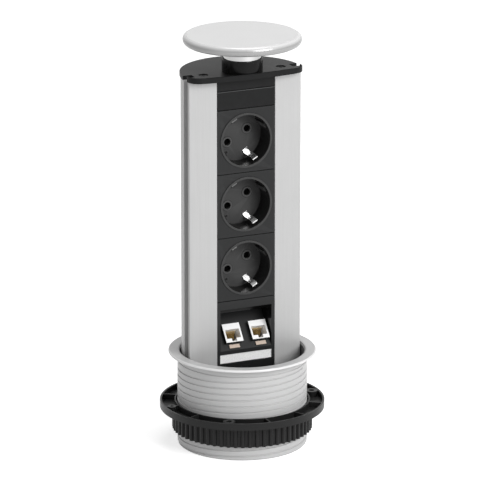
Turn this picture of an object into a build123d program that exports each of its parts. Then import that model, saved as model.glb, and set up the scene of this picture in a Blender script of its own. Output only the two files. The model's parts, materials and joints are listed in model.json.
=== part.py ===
from build123d import *
from math import atan, cos, degrees, pi, radians, sin
import os

# Pop up desk socket, drawn out of its worktop sleeve. Millimetres, +Z up.
# The origin is the centre of the sleeve's lower rim and the sockets face -Y.

# Shared clearances and overrun
slide_gap = 0.3
seat_gap = 0.3
pin_gap = 0.05
joint_gap = 0.6
overrun = 1.0

# Sleeve, thread and collar
sleeve_wall = 1.6
thread_depth = 0.8
thread_spacing = 5.0
thread_starts = 2
groove_top_width = 1.6
groove_root_width = 0.9
groove_seen_turn = -114.5
groove_seen_z = 38.4
collar_overhang = 7.0
collar_lip = 0.4
collar_thickness = 2.2
collar_edge_round = 1.0
collar_mouth_round = 1.6
sleeve_height = 75.5
plain_band = 5.5
band_line_width = 0.9
band_line_depth = 0.5
lead_in = 1.0

# Guide liner inside the sleeve
liner_wall = 1.3
liner_guide_height = 32.8
liner_top_wall = 0.5
felt_width = 12.0
felt_height = 24.0
felt_turn = 40.0

# Clamp ring and grip nut under the worktop
flange_width = 12.4
flange_bottom_z = 29.0
flange_height = 5.5
flange_floor = 1.2
flange_rim = 1.5
flange_hub_wall = 1.0
flange_rib = 1.0
flange_rib_count = 12
flange_turn = -4.5
screw_boss_r = 4.7
screw_hole_r = 2.1
pilot_boss_r = 3.4
pilot_hole_r = 1.4
fixing_count = 3
nut_height = 17.0
nut_neck_wall = 0.7
nut_neck_height = 3.0
nut_wall = 2.3
nut_rib_r = 1.65
nut_rib_count = 60
lug_count = 3
lug_length = 8.0
lug_height = 0.6
lug_root_gap = 0.25

# Column extrusion
column_side = 22.9
column_wall = 2.0
column_bottom_z = 10.0
front_y = -8.0
front_bow_r = 480.0
groove_back_y = 4.0
groove_front_y = -3.4
groove_depth = 6.3
lip_wall = 1.6
ledge_y = -4.0
ledge_width = 1.2
ledge_thickness = 1.8
edge_round = 0.5
channel_inset = 8.5
channel_r = 3.6
channel_bore_r = 1.5

# Top plate and its screws
plate_overhang = 0.8
plate_front_y = -17.0
plate_bow_r = 270.0
plate_corner_r = 10.0
plate_slab = 3.2
plate_lip_height = 1.3
plate_lip_width = 1.0
plate_lip_bevel = 0.4
plate_floor = 1.6
screw_recess_r = 3.75
screw_recess_depth = 2.2
screw_head_r = 3.2
screw_head_height = 1.5
screw_shank_r = 1.45
screw_length = 14.0
screw_slot_r = 1.3
screw_slot_depth = 0.9

# Neck, cap and its return spring
neck_r = 15.8
neck_wall = 1.0
neck_height = 10.5
cap_inset = 2.85
cap_thickness = 7.5
cap_round = 3.6
boss_height = 12.6
boss_overlap = 1.7
boss_bore_r = 11.0
boss_ceiling = 3.4
spring_r = 7.5
spring_wire_r = 0.6
spring_turns = 6
press_travel = 10.0
plunger_r = 3.4
plunger_bridge = 3.0
plunger_length = 32.0
cap_screw_r = 1.3
cap_screw_head_r = 2.4
cap_screw_head = 1.8
cap_screw_bite = 4.0
latch_half = 10.0
latch_front_y = -4.7
latch_back_y = 14.0
latch_height = 24.5

# Base plate and cable inlet
base_overhang = 0.9
base_thickness = 4.0
gland_y = 13.0
gland_bore_r = 5.0
gland_wall = 1.5
gland_flange_r = 9.0
gland_flange = 2.4
gland_height = 11.0

# Front covers
cover_wall = 2.2
module_recess = 0.8
header_height = 9.75
blank_height = 15.0
lower_cover_height = 54.5
lower_cover_rise = 2.0

# Socket inserts
socket_count = 3
socket_side_border = 2.65
socket_end_border = 3.7
recess_r = 20.0
recess_depth = 17.0
recess_wall = 1.7
rim_width = 1.75
rim_height = 0.8
rim_round = 0.3
socket_floor = 2.0
pin_spacing = 19.0
pin_hole_r = 2.75
pin_ring_r = 4.1
pin_ring_height = 0.4
pin_line_turn = 29.0
guide_rib_width = 4.0
guide_rib_height = 1.3
earth_strip_width = 4.6
earth_strip = 0.8
earth_leg_r = 15.8
earth_foot = 3.0
earth_tip_r = 18.4
earth_bend_depth = 5.0
earth_tip_depth = 2.4
earth_bridge_gap = 3.6
housing_depth = 22.5
housing_wall = 1.6
contact_r = 3.6
contact_bore_r = 2.7
contact_length = 15.0
contact_base = 2.0
tail_r = 1.2
shutter_pivot_r = 1.8
shutter_half_width = 4.2
shutter_tip_r = 13.3
shutter_thickness = 1.5
torsion_r = 3.0
torsion_length = 1.2

# Busbars and terminal block
busbar_width = 5.0
busbar_thickness = 0.8
busbar_rise = 4.0
terminal_half = 14.0
terminal_depth = 14.0
terminal_height = 28.0
wire_hole_r = 1.6
terminal_screw_r = 2.2
terminal_screw_length = 5.0

# Data module with two tilted jacks
data_height = 50.85
data_wall = 1.2
data_back_y = 13.5
recess_top_drop = 6.85
recess_foot_rise = 10.8
recess_back_y = 12.0
jack_tilt = 38.0
jack_plate = 1.8
jack_spacing = 22.4
jack_offset = 2.0
jack_width = 14.5
jack_face_height = 15.4
jack_up_slope = 12.9
jack_boss_height = 3.4
jack_face_plate = 0.6
jack_shoulder = 0.8
jack_shell_depth = 20.0
jack_mouth_width = 11.8
jack_mouth_height = 7.4
jack_mouth_rise = -0.9
jack_mouth_depth = 13.0
contact_count = 8
contact_wire_width = 0.5
contact_wire_pitch = 1.02
contact_block_depth = 3.0
key_slot_width = 4.0
key_slot_drop = 2.4
lip_bar_width = 8.7
lip_bar_height = 3.0
lip_bar_proud = 1.0
lip_bar_low = 1.3
lip_leg = 1.2
lip_leg_depth = 8.0
label_border = 2.2
label_rise = 0.6
label_height = 7.0
label_card = 0.5
label_window = 0.7

# Radii that follow outwards from the socket inserts
slot_half = recess_r + rim_width + socket_side_border
column_r = slot_half + column_side
liner_bore_r = column_r + slide_gap
sleeve_bore_r = liner_bore_r + liner_wall
thread_crest_r = sleeve_bore_r + sleeve_wall
thread_root_r = thread_crest_r - thread_depth
collar_r = thread_crest_r + collar_overhang
collar_mouth_r = sleeve_bore_r - collar_lip
nut_bore_r = thread_crest_r + slide_gap
nut_body_r = nut_bore_r + nut_wall
flange_bore_r = nut_bore_r + nut_neck_wall + slide_gap
flange_r = flange_bore_r + flange_width
screw_circle_r = flange_bore_r + flange_width / 2
plate_r = column_r + plate_overhang
base_r = column_r + base_overhang
cap_r = collar_mouth_r - cap_inset
neck_bore_r = neck_r - neck_wall
boss_r = neck_bore_r - slide_gap

# Widths of the front slot and the column's side grooves
ledge_half = slot_half - ledge_width
module_half = slot_half - slide_gap
insert_half = ledge_half - slide_gap
label_half = module_half - label_border
groove_inner_x = column_r - groove_depth
channel_x = groove_inner_x - channel_inset

# Heights, from the column's lower end to the cap
base_bottom_z = column_bottom_z - base_thickness
lower_cover_bottom_z = column_bottom_z + lower_cover_rise
busbar_bottom_z = column_bottom_z + busbar_rise
data_bottom_z = lower_cover_bottom_z + lower_cover_height
data_top_z = data_bottom_z + data_height
recess_foot_z = data_bottom_z + recess_foot_rise
recess_top_z = data_top_z - recess_top_drop
label_bottom_z = data_bottom_z + label_rise
label_top_z = label_bottom_z + label_height
socket_pitch = 2 * (recess_r + rim_width + socket_end_border)
socket_first_z = data_top_z + socket_pitch / 2
blank_bottom_z = data_top_z + socket_count * socket_pitch
header_bottom_z = blank_bottom_z + blank_height
column_top_z = header_bottom_z + header_height
plate_top_z = column_top_z + plate_slab
spring_seat_z = column_top_z + plate_floor
neck_top_z = plate_top_z + neck_height
boss_bottom_z = neck_top_z - boss_overlap
cap_bottom_z = boss_bottom_z + boss_height
boss_top_z = cap_bottom_z
boss_roof_z = boss_top_z - boss_ceiling

# Heights of the sleeve, the liner and the clamp
thread_lead = thread_spacing * thread_starts
collar_under_z = sleeve_height - collar_thickness
band_line_z = collar_under_z - plain_band
liner_bottom_z = column_bottom_z + seat_gap
liner_guide_top = liner_bottom_z + liner_guide_height
flange_top_z = flange_bottom_z + flange_height
nut_top_z = flange_bottom_z - seat_gap
nut_bottom_z = nut_top_z - nut_height

# Depths behind the front
cover_front_y = front_y + module_recess
floor_y = cover_front_y + recess_depth
floor_back_y = floor_y + socket_floor
housing_back_y = floor_back_y + housing_depth
shutter_front_y = floor_back_y + seat_gap
bridge_front_y = floor_back_y + earth_bridge_gap
busbar_front_y = housing_back_y
pin_reach = pin_spacing / 2
jack_dir_y = sin(radians(jack_tilt))
jack_dir_z = cos(radians(jack_tilt))


# Shape helpers
def rod(radius, z_low, z_high, x=0, y=0):
    """Upright cylinder between two heights."""
    low = Pos(x, y, z_low)
    return low * Cylinder(radius, z_high - z_low, align=(Align.CENTER, Align.CENTER, Align.MIN))


def tube(outer_r, inner_r, z_low, z_high):
    """Upright ring between two heights."""
    return rod(outer_r, z_low, z_high) - rod(inner_r, z_low - overrun, z_high + overrun)


def block(x_low, x_high, y_low, y_high, z_low, z_high):
    """Box between its lowest and highest corners."""
    corner = Pos(x_low, y_low, z_low)
    size = Box(x_high - x_low, y_high - y_low, z_high - z_low,
               align=(Align.MIN, Align.MIN, Align.MIN))
    return corner * size


def slab_of(sketch, z_low, z_high):
    """Sketch raised from one height to another."""
    return Pos(0, 0, z_low) * extrude(sketch, z_high - z_low)


def flat_rect(x_low, x_high, y_low, y_high):
    """Rectangle sketch between two corners."""
    centre = Pos((x_low + x_high) / 2, (y_low + y_high) / 2)
    return centre * Rectangle(x_high - x_low, y_high - y_low)


def both_sides(shape):
    """A shape together with its mirror image across the middle plane."""
    return shape + mirror(shape, about=Plane.YZ)


def forward_rod(radius, y_low, y_high, x=0, z=0):
    """Cylinder along Y between two depths."""
    place = Pos(x, y_low, z) * Rot(-90, 0, 0)
    return place * Cylinder(radius, y_high - y_low, align=(Align.CENTER, Align.CENTER, Align.MIN))


def around(count, first_turn=0):
    """Turns of evenly spaced places round the axis."""
    return [first_turn + index * 360 / count for index in range(count)]


# Outline of the column: round at the back, a shallow bow in front
def bowed_disc(radius, bow_front_y, bow_r):
    return Circle(radius) & (Pos(0, bow_front_y + bow_r) * Circle(bow_r))


def side_groove(depth_x, back_y, low_y, reach_r):
    return both_sides(flat_rect(depth_x, reach_r + overrun, low_y, back_y))


def column_section():
    outside = bowed_disc(column_r, front_y, front_bow_r)
    inside = bowed_disc(column_r - column_wall, front_y + column_wall, front_bow_r - column_wall)
    walls = outside - inside
    channel_box = flat_rect(groove_inner_x - column_wall, column_r + overrun,
                            groove_front_y - column_wall, groove_back_y + column_wall)
    lip_depth = ledge_y + ledge_thickness
    lip = flat_rect(slot_half, slot_half + lip_wall, front_y - overrun, lip_depth)
    ledge = flat_rect(ledge_half, slot_half + lip_wall, ledge_y, lip_depth)
    screw_eye = Pos(channel_x, 0) * Circle(channel_r)
    screw_web = flat_rect(channel_x, groove_inner_x, -column_wall / 2, column_wall / 2)
    added = (channel_box + lip + ledge + screw_eye + screw_web) & outside
    section = walls + added + mirror(added, about=Plane.YZ)
    section -= flat_rect(-slot_half, slot_half, front_y - overrun, ledge_y)
    section -= side_groove(groove_inner_x, groove_back_y, groove_front_y, column_r)
    section -= both_sides(Pos(channel_x, 0) * Circle(channel_bore_r))
    return section


def column_profile():
    body = slab_of(column_section(), column_bottom_z, column_top_z)
    upright = body.edges().filter_by(Axis.Z)
    corners = [e for e in upright if is_front_corner(e.center())]
    return fillet(corners, edge_round)


def is_front_corner(point):
    """True on the four front edges that a hand can feel."""
    near_slot = abs(abs(point.X) - slot_half) < edge_round and point.Y < ledge_y - edge_round
    near_side = abs(point.X) > groove_inner_x and point.Y < groove_front_y - edge_round
    return near_slot or near_side


# Sleeve that hangs in the worktop hole
def groove_start_turn():
    """Turn that puts a groove at its seen height on the side facing the viewer."""
    rise = groove_seen_z + thread_lead
    return groove_seen_turn - rise / thread_lead * 360


def helix_groove(turn):
    low_z = -thread_lead
    high_z = band_line_z - thread_spacing / 2
    path = Helix(pitch=thread_lead, height=high_z - low_z, radius=thread_crest_r,
                 center=(0, 0, low_z))
    section = Plane(origin=path @ 0, x_dir=(1, 0, 0), z_dir=path % 0)
    flare = (groove_top_width - groove_root_width) / 2 / thread_depth * pin_gap
    mouth = groove_top_width / 2 + flare
    root = groove_root_width / 2
    outline = Polyline((pin_gap, -mouth), (pin_gap, mouth),
                       (-thread_depth, root), (-thread_depth, -root), close=True)
    groove = sweep(section * make_face(outline), path=path, is_frenet=True)
    return groove.rotate(Axis.Z, turn)


def rim_edges(body, radius, z):
    """Circular edges of one radius at one height."""
    rings = body.edges().filter_by(GeomType.CIRCLE)
    return [e for e in rings if abs(e.radius - radius) < pin_gap and abs(e.center().Z - z) < pin_gap]


def worktop_collar():
    body = tube(collar_r, collar_mouth_r, collar_under_z, sleeve_height)
    body = fillet(rim_edges(body, collar_r, sleeve_height), collar_edge_round)
    body = fillet(rim_edges(body, collar_r, collar_under_z), collar_edge_round)
    return fillet(rim_edges(body, collar_mouth_r, sleeve_height), collar_mouth_round)


def threaded_sleeve():
    body = rod(thread_crest_r, 0, collar_under_z)
    body = chamfer(rim_edges(body, thread_crest_r, 0), lead_in)
    body -= [helix_groove(groove_start_turn() + turn) for turn in around(thread_starts)]
    body -= rod(sleeve_bore_r, -overrun, collar_under_z + overrun)
    line_low = band_line_z - band_line_width / 2
    body -= tube(thread_crest_r + overrun, thread_crest_r - band_line_depth,
                 line_low, line_low + band_line_width)
    return body + worktop_collar()


# Guide liner with two keys and two felt strips
def felt_zone(side, radius_out, radius_in, spare):
    mid_z = liner_bottom_z + liner_guide_height / 2
    half = felt_height / 2 + spare
    wall = tube(radius_out, radius_in, mid_z - half, mid_z + half)
    wedge = block(-felt_width / 2 - spare, felt_width / 2 + spare, 0, radius_out + overrun,
                  mid_z - half, mid_z + half)
    return wall & (Rot(0, 0, side * felt_turn) * wedge)


def guide_liner():
    outer_r = sleeve_bore_r - pin_gap
    body = tube(outer_r, liner_bore_r, liner_bottom_z, liner_guide_top)
    body += tube(outer_r, outer_r - liner_top_wall, liner_guide_top, collar_under_z)
    key = block(groove_inner_x + slide_gap, sleeve_bore_r, groove_front_y + slide_gap,
                groove_back_y - slide_gap, liner_bottom_z, liner_guide_top)
    body += both_sides(key & rod(outer_r, liner_bottom_z, liner_guide_top))
    for side in (-1, 1):
        body -= felt_zone(side, sleeve_bore_r, liner_bore_r - overrun, pin_gap)
    return body


def brake_felt(side):
    return felt_zone(side, sleeve_bore_r - pin_gap, liner_bore_r, 0)


# Clamp ring and grip nut
def clamp_flange():
    low, high = flange_bottom_z, flange_top_z
    hub_r = flange_bore_r + flange_hub_wall
    pocket = tube(flange_r - flange_rim, hub_r, low + flange_floor, high + overrun)
    body = tube(flange_r, flange_bore_r, low, high) - pocket
    rib = block(flange_bore_r + flange_hub_wall / 2, flange_r - flange_rim / 2,
                -flange_rib / 2, flange_rib / 2, low, high)
    ribs = [Rot(0, 0, turn) * rib for turn in around(flange_rib_count, flange_turn)]
    body += ribs
    screw_turns = around(fixing_count, flange_turn)
    pilot_turn = flange_turn + 180
    body += [Rot(0, 0, t) * rod(screw_boss_r, low, high, x=screw_circle_r) for t in screw_turns]
    body += Rot(0, 0, pilot_turn) * rod(pilot_boss_r, low, high, x=screw_circle_r)
    holes = [Rot(0, 0, t) * rod(screw_hole_r, low - overrun, high + overrun, x=screw_circle_r)
             for t in screw_turns]
    body -= holes
    body -= Rot(0, 0, pilot_turn) * rod(pilot_hole_r, low - overrun, high + overrun,
                                        x=screw_circle_r)
    return body


def thread_lug(turn):
    """Short tooth of the nut that runs in the sleeve's groove."""
    middle = (nut_bottom_z + nut_top_z) / 2
    groove_z = groove_seen_z + thread_lead * (turn - groove_seen_turn) / 360
    groove_z -= thread_spacing * round((groove_z - middle) / thread_spacing)
    inner_r = thread_root_r + lug_root_gap
    outer_r = nut_bore_r + nut_neck_wall
    climb = degrees(atan(thread_lead / (2 * pi * thread_crest_r)))
    tooth = Box(outer_r - inner_r, lug_length, lug_height)
    place = Rot(0, 0, turn) * Pos((inner_r + outer_r) / 2, 0, groove_z) * Rot(climb, 0, 0)
    trimmed = rod(nut_body_r, nut_bottom_z, nut_top_z) - rod(inner_r, 0, flange_top_z)
    return (place * tooth) & trimmed


def grip_nut():
    ribs = [Rot(0, 0, turn) * Pos(nut_body_r, 0) * Circle(nut_rib_r) for turn in around(nut_rib_count)]
    section = (Circle(nut_body_r) + ribs) - Circle(nut_bore_r)
    body = slab_of(section, nut_bottom_z, nut_top_z)
    body += tube(nut_bore_r + nut_neck_wall, nut_bore_r, nut_top_z, nut_top_z + nut_neck_height)
    for turn in around(lug_count):
        body += thread_lug(turn)
    return body


# Top plate of the column, with a raised lip along its front
def rounded_plate(inset, z_low, z_high):
    """Plate drawn in by the same amount all round, with its front corners rounded."""
    outline = bowed_disc(plate_r - inset, plate_front_y + inset, plate_bow_r - inset)
    body = slab_of(outline, z_low, z_high)
    upright = body.edges().filter_by(Axis.Z)
    corners = [e for e in upright if e.center().Y < 0 and abs(e.center().X) > column_r / 2]
    return fillet(corners, plate_corner_r - inset)


def top_plate():
    lip_top = plate_top_z + plate_lip_height
    clear_z = lip_top + overrun
    body = rounded_plate(0, column_top_z, lip_top)
    body -= rounded_plate(plate_lip_width, plate_top_z, clear_z)
    reach = plate_r + overrun
    body -= block(-reach, reach, groove_front_y, reach, plate_top_z, clear_z)
    crest = [e for e in body.edges() if abs(e.center().Z - lip_top) < pin_gap and e.length > neck_r]
    body = chamfer(crest, plate_lip_bevel)
    body -= slab_of(side_groove(groove_inner_x, groove_back_y, groove_front_y, plate_r),
                    column_top_z - overrun, clear_z)
    body -= rod(neck_bore_r, spring_seat_z, clear_z)
    body -= rod(plunger_r + pin_gap, column_top_z - overrun, clear_z)
    for x in (-channel_x, channel_x):
        body -= rod(screw_recess_r, plate_top_z - screw_recess_depth, plate_top_z + overrun, x=x)
        body -= rod(channel_bore_r, column_top_z - overrun, plate_top_z, x=x)
    return body


def pan_screw(x, seat_z, point):
    """Cross-slot pan head screw; point is 1 for upwards and -1 for downwards."""
    head = rod(screw_head_r, 0, screw_head_height)
    shank = rod(screw_shank_r, -screw_length, 0)
    arm = screw_slot_r * 2
    for width, height in ((arm * 2, screw_slot_r / 2), (screw_slot_r / 2, arm * 2)):
        slot = Pos(0, 0, screw_head_height) * Box(width, height, screw_slot_depth * 2)
        head -= slot
    screw = head + shank
    if point > 0:
        screw = Rot(180, 0, 0) * screw
    return Pos(x, 0, seat_z) * screw


def screw_pair(seat_z, point):
    return [pan_screw(x, seat_z, point) for x in (-channel_x, channel_x)]


# Neck, cap, its spring and the push latch
def neck():
    return tube(neck_r, neck_bore_r, plate_top_z, neck_top_z)


def cap_disc():
    top_z = cap_bottom_z + cap_thickness
    body = rod(cap_r, cap_bottom_z, top_z)
    body = fillet(rim_edges(body, cap_r, cap_bottom_z), cap_round)
    body = fillet(rim_edges(body, cap_r, top_z), cap_round)
    return body - rod(cap_screw_r + pin_gap, cap_bottom_z - overrun, cap_bottom_z + cap_screw_bite)


def cap_boss():
    body = rod(boss_r, boss_bottom_z, boss_top_z)
    body -= rod(boss_bore_r, boss_bottom_z - overrun, boss_roof_z)
    return body - rod(cap_screw_r + pin_gap, boss_roof_z - overrun, boss_top_z + overrun)


def cap_plunger():
    low_z = boss_roof_z - plunger_length
    bridge_z = boss_roof_z - plunger_bridge
    body = rod(plunger_r, low_z, boss_roof_z)
    body -= rod(cap_screw_head_r + pin_gap, low_z - overrun, bridge_z)
    return body - rod(cap_screw_r + pin_gap, low_z, boss_roof_z + overrun)


def cap_screw():
    bridge_z = boss_roof_z - plunger_bridge
    head = rod(cap_screw_head_r, bridge_z - cap_screw_head, bridge_z)
    head -= rod(cap_screw_head_r / 2, bridge_z - cap_screw_head, bridge_z - cap_screw_head / 2)
    return head + rod(cap_screw_r, bridge_z, cap_bottom_z + cap_screw_bite)


def cap_spring():
    low_z = spring_seat_z + spring_wire_r
    height = boss_roof_z - spring_seat_z - 2 * spring_wire_r
    path = Helix(pitch=height / spring_turns, height=height, radius=spring_r, center=(0, 0, low_z))
    section = Plane(origin=path @ 0, z_dir=path % 0) * Circle(spring_wire_r)
    return sweep(section, path=path, is_frenet=True)


def latch_case():
    body = block(-latch_half, latch_half, latch_front_y, latch_back_y,
                 column_top_z - latch_height, column_top_z)
    bore_low = boss_roof_z - plunger_length - press_travel - overrun
    return body - rod(plunger_r + pin_gap, bore_low, column_top_z + overrun)


# Base plate, its screws and the cable inlet
def base_plate():
    body = slab_of(bowed_disc(base_r, front_y, front_bow_r), base_bottom_z, column_bottom_z)
    body -= rod(gland_bore_r + gland_wall + pin_gap, base_bottom_z - overrun,
                column_bottom_z + overrun, y=gland_y)
    for x in (-channel_x, channel_x):
        body -= rod(screw_recess_r, base_bottom_z - overrun, base_bottom_z + screw_recess_depth, x=x)
        body -= rod(channel_bore_r, base_bottom_z, column_bottom_z + overrun, x=x)
    return body


def cable_gland():
    low_z = base_bottom_z - gland_flange
    body = rod(gland_flange_r, low_z, base_bottom_z, y=gland_y)
    body += rod(gland_bore_r + gland_wall, low_z, low_z + gland_height, y=gland_y)
    return body - rod(gland_bore_r, low_z - overrun, low_z + gland_height + overrun,
                      y=gland_y)


# Blank covers of the front slot
def front_cover(low_z, high_z):
    low, high = low_z + joint_gap / 2, high_z - joint_gap / 2
    face = block(-module_half, module_half, cover_front_y, cover_front_y + cover_wall, low, high)
    rail = block(ledge_half, module_half, cover_front_y, ledge_y, low, high)
    return face + both_sides(rail)


# Socket insert
def socket_place(index):
    return Pos(0, 0, socket_first_z + index * socket_pitch)


def pin_places():
    reach = pin_spacing / 2
    turn = radians(pin_line_turn)
    return [(side * reach * cos(turn), side * reach * sin(turn)) for side in (-1, 1)]


def turned(shape, extra=0):
    """Turn a shape about the socket's own axis so that +X follows the pin line."""
    return Rot(0, -(pin_line_turn + extra), 0) * shape


def rim_ring():
    """Raised ring round the recess, with its front edges rounded."""
    crest_y = cover_front_y - rim_height
    ring = forward_rod(recess_r + rim_width, crest_y, ledge_y)
    ring -= forward_rod(recess_r, crest_y - overrun, ledge_y + overrun)
    edges = ring.edges().filter_by(GeomType.CIRCLE)
    crest = [e for e in edges if abs(e.center().Y - crest_y) < pin_gap]
    return fillet(crest, rim_round)


def socket_face(index):
    half = (socket_pitch - joint_gap) / 2
    body = block(-module_half, module_half, cover_front_y, ledge_y, -half, half)
    body += forward_rod(recess_r + recess_wall, cover_front_y, floor_back_y)
    body -= forward_rod(recess_r, cover_front_y - overrun, floor_y)
    body += rim_ring()
    ring_front = floor_y - pin_ring_height
    for x, z in pin_places():
        body += forward_rod(pin_ring_r, ring_front, floor_y, x=x, z=z)
        body -= forward_rod(pin_hole_r, ring_front - overrun, floor_back_y + overrun, x=x, z=z)
    rib = block(recess_r - guide_rib_height, recess_r + recess_wall / 2,
                cover_front_y + rim_width, floor_y, -guide_rib_width / 2, guide_rib_width / 2)
    slot_half_width = earth_strip_width / 2 + pin_gap
    slot = block(earth_leg_r - pin_gap, earth_leg_r + earth_strip + pin_gap,
                 floor_y - overrun, floor_back_y + overrun, -slot_half_width, slot_half_width)
    for extra in (0, 180):
        body += turned(rib, extra)
        body -= turned(slot, extra + 90)
    pivot_back = bridge_front_y - seat_gap
    body += forward_rod(shutter_pivot_r, floor_back_y, pivot_back)
    return socket_place(index) * body


def earth_clip(index):
    """Bent strip: bridge behind the floor, two legs, feet on the floor and flared tips."""
    outer_r = earth_leg_r + earth_strip
    bend_y = cover_front_y + earth_bend_depth
    tip_y = cover_front_y + earth_tip_depth
    bridge_back = bridge_front_y + earth_strip
    half = flat_rect(0, outer_r, bridge_front_y, bridge_back)
    half += flat_rect(earth_leg_r, outer_r, bend_y, bridge_back)
    half += flat_rect(earth_leg_r - earth_foot, outer_r, floor_y - earth_strip, floor_y)
    half += make_face(Polyline((earth_leg_r, bend_y), (outer_r, bend_y),
                               (earth_tip_r, tip_y), (earth_tip_r - earth_strip, tip_y), close=True))
    section = both_sides(half)
    strip = slab_of(section, -earth_strip_width / 2, earth_strip_width / 2)
    body = turned(strip, 90)
    body += forward_rod(tail_r, bridge_front_y, busbar_front_y)
    return socket_place(index) * body


def socket_housing(index):
    outer_r = recess_r + recess_wall
    body = forward_rod(outer_r, floor_back_y, housing_back_y)
    body -= forward_rod(outer_r - housing_wall, floor_back_y - overrun, housing_back_y - housing_wall)
    for x, z in pin_places() + [(0, 0)]:
        body -= forward_rod(tail_r + pin_gap, floor_back_y, housing_back_y + overrun, x=x, z=z)
    return socket_place(index) * body


def line_contact(index, side):
    x, z = pin_places()[side]
    back_y = housing_back_y - housing_wall
    body = forward_rod(contact_r, back_y - contact_length, back_y, x=x, z=z)
    body -= forward_rod(contact_bore_r, back_y - contact_length - overrun, back_y - contact_base,
                        x=x, z=z)
    body += forward_rod(tail_r, back_y - contact_base, busbar_front_y, x=x, z=z)
    return socket_place(index) * body


def shutter(index):
    disc = forward_rod(shutter_tip_r, shutter_front_y, shutter_front_y + shutter_thickness)
    bar = block(-shutter_tip_r, shutter_tip_r, shutter_front_y,
                shutter_front_y + shutter_thickness, -shutter_half_width, shutter_half_width)
    body = disc & bar
    body -= forward_rod(shutter_pivot_r + pin_gap, shutter_front_y - overrun,
                        shutter_front_y + shutter_thickness + overrun)
    return socket_place(index) * turned(body)


def shutter_spring(index):
    low_y = shutter_front_y + shutter_thickness + seat_gap
    body = forward_rod(torsion_r, low_y, low_y + torsion_length)
    body -= forward_rod(shutter_pivot_r + pin_gap, low_y - overrun, low_y + torsion_length + overrun)
    return socket_place(index) * body


# Busbars and terminal block
def busbar(x):
    top_z = socket_first_z + (socket_count - 1) * socket_pitch + pin_reach
    return block(x - busbar_width / 2, x + busbar_width / 2, busbar_front_y,
                 busbar_front_y + busbar_thickness, busbar_bottom_z, top_z)


def busbar_places():
    reach = pin_places()[1][0]
    return (-reach, 0, reach)


def terminal_screw_z():
    return column_bottom_z + terminal_height * 2 / 3


def terminal_block():
    front = busbar_front_y - terminal_depth
    body = block(-terminal_half, terminal_half, front, busbar_front_y,
                 column_bottom_z, column_bottom_z + terminal_height)
    for x in busbar_places():
        body -= forward_rod(wire_hole_r, front - overrun, front + terminal_depth * 2 / 3,
                            x=x, z=column_bottom_z + terminal_height / 3)
        body -= forward_rod(terminal_screw_r + pin_gap, front - overrun,
                            front + terminal_screw_length, x=x, z=terminal_screw_z())
    return body


def terminal_screws():
    front = busbar_front_y - terminal_depth
    screws = []
    for x in busbar_places():
        screw = forward_rod(terminal_screw_r, front, front + terminal_screw_length,
                            x=x, z=terminal_screw_z())
        slot = Pos(x, front, terminal_screw_z())
        screws.append(screw - slot * Box(terminal_screw_r * 3, terminal_screw_r, terminal_screw_r / 3))
    return screws


# Data module
def slope_point(up, out=0):
    """Depth and height of a point on the tilted plate; out is the distance in front of it."""
    y = cover_front_y + up * jack_dir_y - out * jack_dir_z
    z = recess_foot_z + up * jack_dir_z + out * jack_dir_y
    return y, z


def side_profile(points, half_width):
    """Outline in the depth and height plane, raised to both sides of the middle."""
    wire = Polyline([(0, y, z) for y, z in points], close=True)
    return extrude(make_face(wire), half_width, dir=(1, 0, 0), both=True)


def slope_at_depth(y, out=0):
    start_y, start_z = slope_point(0, out)
    return start_z + (y - start_y) * jack_dir_z / jack_dir_y


def jack_plane(x):
    y, z = slope_point(jack_up_slope)
    return Plane(origin=(x, y, z), x_dir=(1, 0, 0), z_dir=(0, -jack_dir_z, jack_dir_y))


def jack_places():
    return {"left": jack_offset - jack_spacing / 2, "right": jack_offset + jack_spacing / 2}


def raised_box(width, height, low, high, rise=0):
    """Box in a jack's own frame, from one distance to another along its axis."""
    return Pos(0, rise, low) * Box(width, height, high - low,
                                   align=(Align.CENTER, Align.CENTER, Align.MIN))


def jack_body_size():
    return jack_width - 2 * jack_shoulder, jack_face_height - 2 * jack_shoulder


def lip_bar_rise():
    """Middle of the latch lip, measured up the slope from the jack's centre."""
    return lip_bar_low + lip_bar_height / 2 - jack_up_slope


def data_frame():
    low, high = data_bottom_z + joint_gap / 2, data_top_z - joint_gap / 2
    body = block(-module_half, module_half, cover_front_y, ledge_y, low, high)
    body += block(-insert_half, insert_half, ledge_y, data_back_y, low, high)
    mouth_y = cover_front_y - overrun
    recess = [(mouth_y, recess_foot_z), (cover_front_y, recess_foot_z),
              (recess_back_y, slope_at_depth(recess_back_y)), (recess_back_y, recess_top_z),
              (mouth_y, recess_top_z)]
    body -= side_profile(recess, insert_half - data_wall)
    rear_y = data_back_y + overrun
    cavity = [(ledge_y, slope_at_depth(ledge_y, -jack_plate)),
              (rear_y, slope_at_depth(rear_y, -jack_plate)),
              (rear_y, low + data_wall), (ledge_y, low + data_wall)]
    body -= side_profile(cavity, insert_half - data_wall)
    pocket_y = cover_front_y + label_card + label_window
    body -= block(-label_half - pin_gap, label_half + pin_gap, cover_front_y - overrun, pocket_y,
                  label_bottom_z - pin_gap, label_top_z + pin_gap)
    hole_width, hole_height = jack_body_size()
    reach = jack_shell_depth + jack_plate
    for x in jack_places().values():
        at_jack = jack_plane(x)
        body += at_jack * raised_box(jack_width, jack_face_height, -jack_plate / 2, jack_boss_height)
        body -= at_jack * raised_box(hole_width + 2 * pin_gap, hole_height + 2 * pin_gap,
                                     -reach, jack_boss_height + overrun)
        body -= at_jack * raised_box(lip_bar_width + 2 * pin_gap, lip_leg + 2 * pin_gap,
                                     -jack_plate - overrun, overrun, rise=lip_bar_rise())
    return body


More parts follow.
